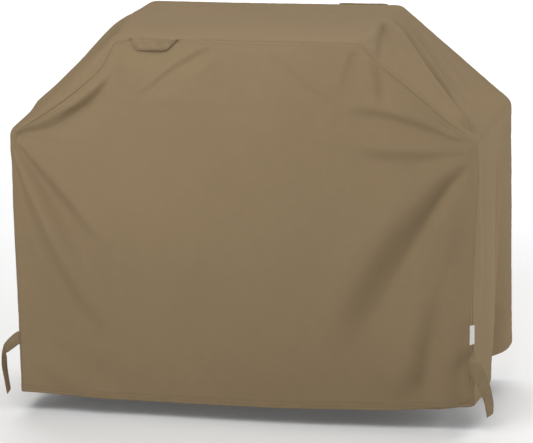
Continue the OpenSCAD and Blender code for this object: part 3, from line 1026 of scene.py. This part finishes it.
def handle_outline(inset, count=120):
    """The handle's tapered outline with round lower corners, that far inside its edge, in x and depth
    below its upper edge."""
    a, b, low, corner = HANDLE_TOP / 2, HANDLE_LOW / 2, HANDLE_H, 0.009
    lean = math.atan2(low, a - b)
    points = [(-a, 0.0005), (-a * 0.5, 0.0018), (0, 0.0024), (a * 0.5, 0.0018), (a, 0.0005)]
    for side in (1, -1):
        turn = [(b + corner * 0.7 * math.cos(lean), low - corner * 0.7 * math.sin(lean)),
                (b + 0.0010, low - 0.0030), (b - 0.0028, low - 0.0006), (b - corner * 0.8, low)]
        points += [(side * x, z) for x, z in (turn if side == 1 else reversed(turn))]
    points = np.array(points + points[:1])
    size = np.concatenate([[0], np.cumsum(np.linalg.norm(np.diff(points, axis=0), axis=1))])
    t = np.linspace(0, size[-1], count, endpoint=False)
    ring = np.stack([np.interp(t, size, points[:, k]) for k in (0, 1)], -1)
    way = normalise(np.roll(ring, -1, 0) - np.roll(ring, 1, 0))
    return ring + np.stack([-way[:, 1], way[:, 0]], -1) * inset


def on_bow(x, z, out):
    """A point of the front handle: x from its middle, z below the top, out from the middle of its
    thickness."""
    reach = np.abs(x) / (HANDLE_TOP / 2)
    radius = BOW_R + HANDLE_T / 2 + out
    turn = np.arcsin(np.clip(x / BOW_R, -0.99, 0.99))
    y = -HALF_D - 0.0004 - HANDLE_BOW + BOW_R - radius * np.cos(turn)
    tuck = 0.0032 * reach ** 8
    down = z / HANDLE_H
    sag = 0.0012 * (1 - reach ** 2) + 0.0030 * (x / HANDLE_TOP) * down
    lean = 0.0099 * down
    y = y + tuck + 0.0035 * down * (1 - reach ** 2)
    return np.stack([-HANDLE_X + HANDLE_SHIFT - lean + radius * np.sin(turn), y,
                     TOP_H + HEM_Z + HANDLE_LIFT - z - sag - tuck * 0.6], -1)


def bow_way(here):
    """Which way is out of the bowed handle."""
    return np.stack([here[:, 0] + HANDLE_X, here[:, 1] + HALF_D - 0.10, 0 * here[:, 0]], -1)


# The shell's rings, in parts of the outline's size, from the middle of the front face outwards.
SHELL_RINGS = (0.10, 0.25, 0.42, 0.58, 0.70, 0.78, 0.82, 0.85, 0.88, 0.92, 0.955, 0.985, 1.0)


def handle_shell(shrink):
    """Rings of a padded form: full in its middle, flat beyond the sewn row, and thin at its edge."""
    ring = handle_outline(0.0005 + shrink)
    centre = np.array([0.0, HANDLE_H * 0.48])
    rows = []
    for face in (1, -1):
        for r in SHELL_RINGS[::face]:
            flat = centre + (ring - centre) * r
            gap = (1 - r) * 0.020
            edge = min(1.0, gap / 0.0007) ** 0.5 * 0.32
            full = 0.32 + 0.68 * float(smooth((gap - 0.0020) / 0.0045))
            half = (HANDLE_T / 2 - shrink) * (edge if gap < 0.0007 else full)
            if shrink == 0 and face == 1:
                half += 0.00016 * noise_1d(np.arange(len(ring)) * 0.0033, 0.009, 5) * (r < 0.9)
            rows.append(on_bow(flat[:, 0], flat[:, 1], face * half))
    return np.stack(rows)


def closed_tube(rings):
    """Points, faces and pattern places of a tube of rings, with a fan at each end."""
    rows, count = rings.shape[:2]
    points, faces = rings.reshape(-1, 3), grid_faces(rows, count, closed=True).tolist()
    for first, flip in ((0, True), ((rows - 1) * count, False)):
        ring = range(first, first + count)
        points = np.vstack([points, points[first:first + count].mean(0)])
        for k in range(count):
            tri = (ring[k], ring[(k + 1) % count], len(points) - 1)
            faces.append(tri[::-1] if flip else tri)
    return points, faces, points[:, [0, 2]]


def make_handle(side):
    word = "front" if side == FRONT else "back"
    body = f"{word}_handle"
    # both are made for the front, and the back one is turned round
    turned = np.array([1, 1, 1] if side == FRONT else [-1, -1, 1])
    for part, shrink, material, slot_name in (("sleeve", 0.0, "handle_cloth", "cover_cloth"),
                                              ("padding", 0.0009, "padding", "padding")):
        points, faces, uv = closed_tube(handle_shell(shrink))
        obj = mesh_object(f"{word}_handle_{part}_soft", points * turned, faces, uv)
        finish_piece(obj, body, material, (f"{word}_handle_{part}",))
    ring = handle_outline(HANDLE_ROW, 72)
    here = on_bow(ring[:, 0], ring[:, 1], HANDLE_T / 2 * 0.62)
    ahead = np.roll(here, -1, 0) - np.roll(here, 1, 0)
    row = [stitches(here, ahead, bow_way(here), length=0.0036, seed=5)]
    tacks = []
    for end in (-1, 1):
        x = end * np.linspace(0.064, 0.071, 12)
        zigzag = np.arange(12) % 2
        here = on_bow(x, 0.0065 + 0.0018 * zigzag, HANDLE_T / 2 * 0.45)
        way = np.stack([0.35 + 0 * x, 0 * x, 1 - 2.0 * zigzag], -1)
        tacks.append(stitches(here, way, bow_way(here), length=0.0038, width=0.0008, seed=9))
    for name, node, parts in (("stitches", "stitching", row), ("tacks", "bartacks", tacks)):
        sewn(f"{body}_{name}", body, f"{body}_{node}", [(p * turned, f, uv) for p, f, uv in parts])


# ---- tie straps ----

STRAP_W, STRAP_T = 0.038, 0.0014

# Each strap's two edges, as (x, y, height) points from the seam to the tip.
LEFT_OUTER = [(-.693, -.3075, .179), (-.7035, -.310, .175), (-.714, -.312, .168),
              (-.7255, -.315, .1575), (-.735, -.319, .147), (-.7415, -.322, .1375),
              (-.746, -.327, .118), (-.7485, -.330, .0955), (-.7475, -.331, .0695),
              (-.7415, -.331, .029), (-.7355, -.331, -.0165)]
LEFT_INNER = [(-.693, -.3075, .140), (-.7015, -.309, .135), (-.7115, -.309, .127),
              (-.7225, -.310, .119), (-.7315, -.311, .113), (-.7395, -.311, .1075),
              (-.7415, -.303, .091), (-.743, -.298, .074), (-.7425, -.297, .053),
              (-.7395, -.297, .0205), (-.735, -.297, -.0085)]
RIGHT_OUTER = [(.688, -.3065, .178), (.681, -.320, .170), (.6755, -.333, .154),
               (.675, -.338, .1345), (.682, -.339, .115), (.6925, -.338, .097),
               (.705, -.336, .072), (.713, -.334, .050), (.7205, -.332, .029),
               (.724, -.331, .0075), (.728, -.331, -.0175)]
RIGHT_INNER = [(.688, -.3065, .1405), (.6975, -.3135, .1435), (.707, -.318, .1435),
               (.714, -.321, .1385), (.7205, -.3225, .126), (.728, -.322, .105),
               (.735, -.320, .082), (.7395, -.318, .061), (.743, -.316, .0375),
               (.7445, -.314, .0155), (.743, -.313, -.0085)]


class Strap:
    """A strip between two edges; t runs along it from 0 to 1, and w across it from 0 to 1."""

    def __init__(self, outer, inner, crown, ripple_seed):
        self.outer, self.inner = (soft_line(np.array(e) + (0, 0, HEM_Z), 160) for e in (outer, inner))
        self.crown, self.seed = crown, ripple_seed
        self.length = np.linalg.norm(np.diff((self.outer + self.inner) / 2, axis=0), axis=1).sum()

    def ruled(self, t, w):
        at = np.clip(t, 0, 1) * (len(self.outer) - 1)
        i = np.minimum(at.astype(int), len(self.outer) - 2)
        part = (at - i)[..., None]
        a = self.outer[i] * (1 - part) + self.outer[i + 1] * part
        b = self.inner[i] * (1 - part) + self.inner[i + 1] * part
        return a + (b - a) * w[..., None]

    def surface(self, t, w):
        """Points and the normals of the side that faces forward at the root."""
        t = np.clip(t, 0.0045, 0.9955)
        along_t = self.ruled(t + 0.004, w) - self.ruled(t - 0.004, w)
        normal = normalise(np.cross(along_t, self.ruled(t, w + 0.1) - self.ruled(t, w - 0.1)))
        ripple = 0.0005 * noise_2d(t * self.length, w * STRAP_W, 0.02, self.seed)
        lift = self.crown * (1 - (2 * w - 1) ** 2) + ripple
        relief = 0.00025 * (1 - smooth(np.abs(np.abs(2 * w - 1) - 1 + 0.21) / 0.04))
        return self.ruled(t, w) + normal * (lift - relief)[..., None], normal


STRAP_CROWN, GRIP_T = 0.0015, 0.0009
SEWN_EDGE = 0.105
# Each tape's run along the strap. The hooks are on the tail's back, the loops on the root's hidden side.
GRIP_TAPES = (("hook", 0.60, 0.885), ("loop", 0.10, 0.24))


def make_strap(name, outer, inner, face):
    strap = Strap(outer, inner, STRAP_CROWN, 61 if name == "left" else 67)
    lift = STRAP_T / 2 + ABOVE

    def bending(obj):
        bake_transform(obj)

    def ribbon(piece, t, w, points, flip):
        return mesh_object(f"{name}_strap_{piece}", points, grid_faces(*t.shape, flip=flip),
                           np.stack([w * STRAP_W, t * strap.length], -1))

    t, w = np.meshgrid(np.linspace(0, 1, 96), np.linspace(0, 1, 15))
    points, _ = strap.surface(t, w)
    obj = ribbon("strip", t, w, points, face > 0)
    finish_piece(obj, None, "strap_cloth", (f"{name}_strap_root", f"{name}_strap_tail"))
    thicken(obj, STRAP_T, offset=0.0)
    bevel = obj.modifiers.new("soft edge", "BEVEL")
    bevel.width, bevel.segments, bevel.limit_method = 0.0004, 2, "ANGLE"
    bending(obj)

    rows = []
    edges = (SEWN_EDGE, 1 - SEWN_EDGE)
    for k, (off, across) in enumerate((off, across) for off in (1, -1) for across in edges):
        t = np.arange(0.03, 0.93, 0.0050 / strap.length)
        w = np.full_like(t, across)
        here, out = strap.surface(t, w)
        ahead, _ = strap.surface(t + 0.004, w)
        rows.append(stitches(here + out * off * lift, ahead - here, out * off, seed=3 + k))
    bending(sewn(f"{name}_strap_stitches", None, f"{name}_strap_stitching", rows))

    tacks = []
    zigzag = (np.arange(26) % 2 * 2 - 1)[:, None]
    for at in (0.035, 0.055):
        w = np.linspace(0.12, 0.88, 26)
        t = np.full_like(w, at)
        here, out = strap.surface(t, w)
        way = strap.surface(t, w + 0.05)[0] - here + (strap.surface(t + 0.01, w)[0] - here) * zigzag * 0.8
        for off in (1, -1):
            tacks.append(stitches(here + out * off * lift, way, out * off, length=0.0028, width=0.0007,
                                  seed=13))
    bending(sewn(f"{name}_strap_tack", None, f"{name}_strap_bartack", tacks))

    for kind, low, high in GRIP_TAPES:
        t, w = np.meshgrid(np.linspace(low, high, 26), np.linspace(0.14, 0.86, 9))
        here, out = strap.surface(t, w)
        points = here - out * face * lift
        obj = ribbon(kind, t, w, points, face < 0)
        finish_piece(obj, None, f"{kind}_tape", (f"{name}_strap_{kind}_tape",))
        thicken(obj, GRIP_T, offset=1.0)
        bending(obj)


# ---- side label ----

LABEL_W, LABEL_LOW, LABEL_HIGH = 0.0098, 0.199, 0.255
LABEL_X = HALF_W - 0.0140
LABEL_Y = -HALF_D + 0.0005
LABEL_LEAN = math.radians(190)
LABEL_BEND, LABEL_T = 0.00075, 0.0003


def make_label():
    """A woven tape folded in half, both ends caught in the right front seam."""
    flat = [(0.002 + (LABEL_W - 0.0025) * k / 8, 0.00045) for k in range(9)]
    turns = [math.pi / 2 - math.pi * k / 8 for k in range(1, 8)]
    fold = [(LABEL_W - 0.0005 + LABEL_BEND * math.cos(a), LABEL_BEND * math.sin(a)) for a in turns]
    around = np.array([(-0.0035, 0.0002), *flat, *fold, *((x, -y) for x, y in reversed(flat)),
                       (-0.0035, -0.0002)])
    heights = np.linspace(LABEL_LOW, LABEL_HIGH, 22)
    lean_x, lean_y = math.cos(LABEL_LEAN), math.sin(LABEL_LEAN)
    rows = []
    for h in heights:
        tall = (h - LABEL_LOW) / (LABEL_HIGH - LABEL_LOW)
        curl = 0.0010 * math.sin(math.pi * tall) + 0.0012 * (tall - 0.5)
        out = around[:, 0] * (1 - 0.03 * math.sin(2.2 * tall)) + 0.0008 * (0.5 - tall)
        thick = around[:, 1] + curl * (np.maximum(around[:, 0], 0) / LABEL_W) ** 2
        droop = (0.0040 - 0.0025 * tall) * np.clip(around[:, 0] / LABEL_W, 0, 1)
        rows.append(np.stack([LABEL_X + out * lean_x - thick * lean_y,
                              LABEL_Y + out * lean_y + thick * lean_x, h + HEM_Z - droop], -1))
    points = np.stack(rows)
    size = np.concatenate([[0], np.cumsum(np.linalg.norm(np.diff(around, axis=0), axis=1))])
    uv = np.stack([np.tile(size, (len(heights), 1)), np.tile(heights[:, None], (1, len(size)))], -1)
    obj = mesh_object("side_label_woven", points, grid_faces(*points.shape[:2], flip=True), uv)
    finish_piece(obj, "label", "label_cloth", ("side_label",))
    thicken(obj, LABEL_T, offset=0.0)
    h = np.arange(LABEL_LOW + 0.004, LABEL_HIGH - 0.003, 0.0034)
    out = 0.0035
    here = np.stack([LABEL_X + out * lean_x + 0 * h, LABEL_Y + out * lean_y - 0.0008 + 0 * h, h + HEM_Z], -1)
    way, face = (np.tile(v, (len(h), 1)) for v in ([0.0, 0.0, 1.0], [0.17, -0.98, 0.0]))
    sewn("side_label_stitches", "label", "side_label_stitching",
         [stitches(here, way, face, length=0.0026, width=0.0006, seed=2)])


make_camera()
make_studio()
make_panel("front_panel", FRONT)
make_panel("back_panel", BACK)
make_strip()
make_hem()
make_tape("front_seam_tape_film", FRONT, "front_seam_tape")
make_tape("back_seam_tape_film", BACK, "back_seam_tape")
make_seam_stitching("front_seam_stitches", FRONT, "front_seam_stitching")
make_seam_stitching("back_seam_stitches", BACK, "back_seam_stitching")
make_hem_stitching()
make_handle(FRONT)
make_handle(BACK)
make_strap("left", LEFT_OUTER, LEFT_INNER,
           1)
make_strap("right", RIGHT_OUTER, RIGHT_INNER,
           1)
make_label()
